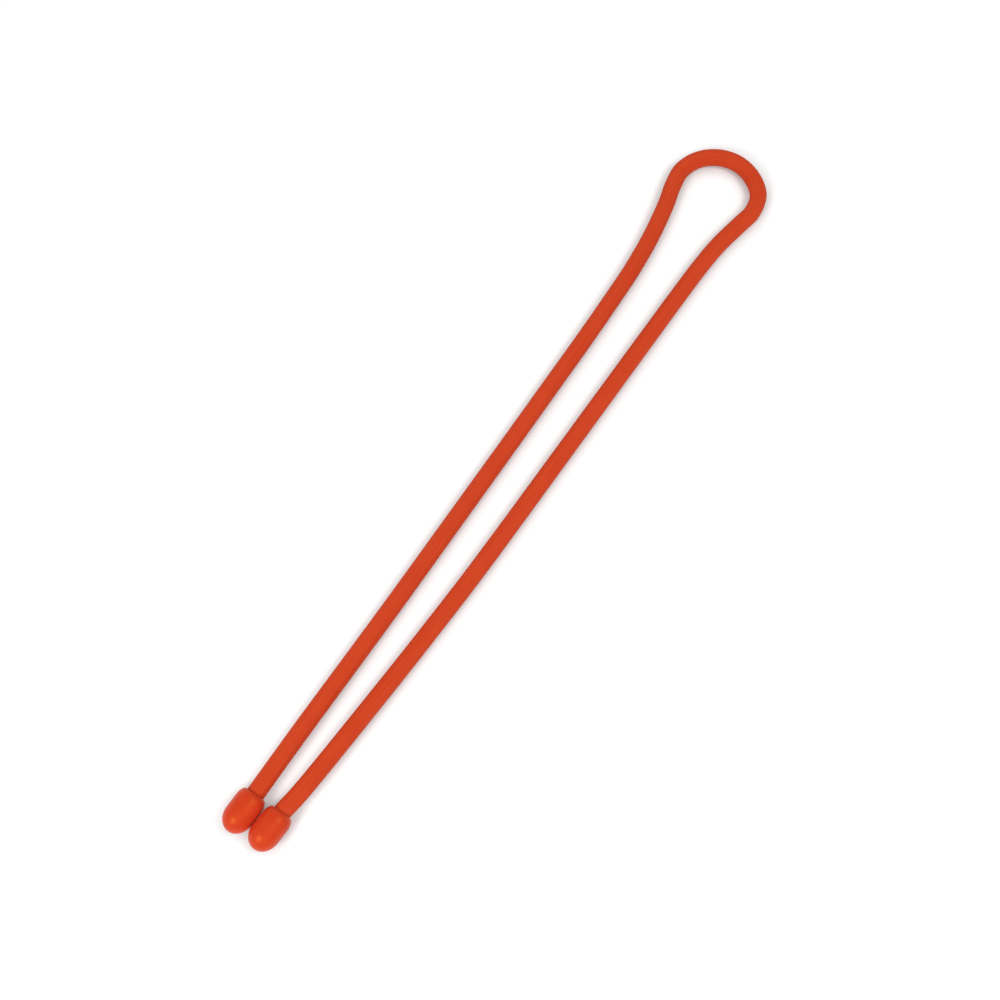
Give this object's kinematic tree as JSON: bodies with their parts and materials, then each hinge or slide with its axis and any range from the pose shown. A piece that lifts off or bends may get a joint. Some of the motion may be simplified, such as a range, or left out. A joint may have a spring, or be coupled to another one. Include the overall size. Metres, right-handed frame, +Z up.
{
  "type": "bendable rubber twist tie",
  "caption": "Long bendable tie with a wire core in a ribbed rubber sleeve and a bulb-shaped rubber cap on each end, folded in half into a loop.",
  "frame": {"origin": "on the table, under the middle of the folded tie's outline", "axes": "+X from the left leg to the right leg, +Y along the legs from the caps to the loop, +Z up"},
  "size_m": [0.0484, 0.3974, 0.0134],
  "materials": {
    "sleeve_rubber": "matte orange-red rubber with fine lengthwise ribs",
    "cap_rubber": "smooth satin orange-red rubber, a little glossier than the sleeve",
    "wire_steel": "plain drawn soft steel wire, hidden"
  },
  "bodies": {
    "crown": {"sleeve_crown": "sleeve_rubber", "core_crown": "wire_steel"},
    "left_leg": {"sleeve_left_leg": "sleeve_rubber", "core_left_leg": "wire_steel"},
    "left_end": {"sleeve_left_end": "sleeve_rubber", "core_left_end": "wire_steel", "end_cap_left": "cap_rubber"},
    "right_leg": {"sleeve_right_leg": "sleeve_rubber", "core_right_leg": "wire_steel"},
    "right_end": {"sleeve_right_end": "sleeve_rubber", "core_right_end": "wire_steel", "end_cap_right": "cap_rubber"}
  },
  "joints": [
    {"name": "loop_opening", "type": "hinge", "parent": "crown", "child": "left_leg", "pos_m": [-0.01617, 0.18614, 0.004], "axis": [0, 0, -1], "range_deg": [0, 90], "deforming": ["sleeve_crown", "core_crown", "sleeve_left_leg", "core_left_leg"]},
    {"name": "loop_opening_right", "type": "hinge", "parent": "crown", "child": "right_leg", "pos_m": [0.01687, 0.18723, 0.004], "axis": [0, 0, 1], "range_deg": [0, 90], "deforming": ["sleeve_right_leg", "core_right_leg"]},
    {"name": "left_leg_bend", "type": "hinge", "parent": "left_leg", "child": "left_end", "pos_m": [-0.00787, 0.00629, 0.004], "axis": [0, 0, -1], "range_deg": [0, 90], "deforming": ["sleeve_left_end", "core_left_end"]},
    {"name": "right_leg_bend", "type": "hinge", "parent": "right_leg", "child": "right_end", "pos_m": [0.01468, 0.00662, 0.004], "axis": [0, 0, 1], "range_deg": [0, 90], "deforming": ["sleeve_right_end", "core_right_end"]}
  ],
  "couplings": [
    {"joint": "loop_opening_right", "follows": "loop_opening", "ratio": 1}
  ]
}
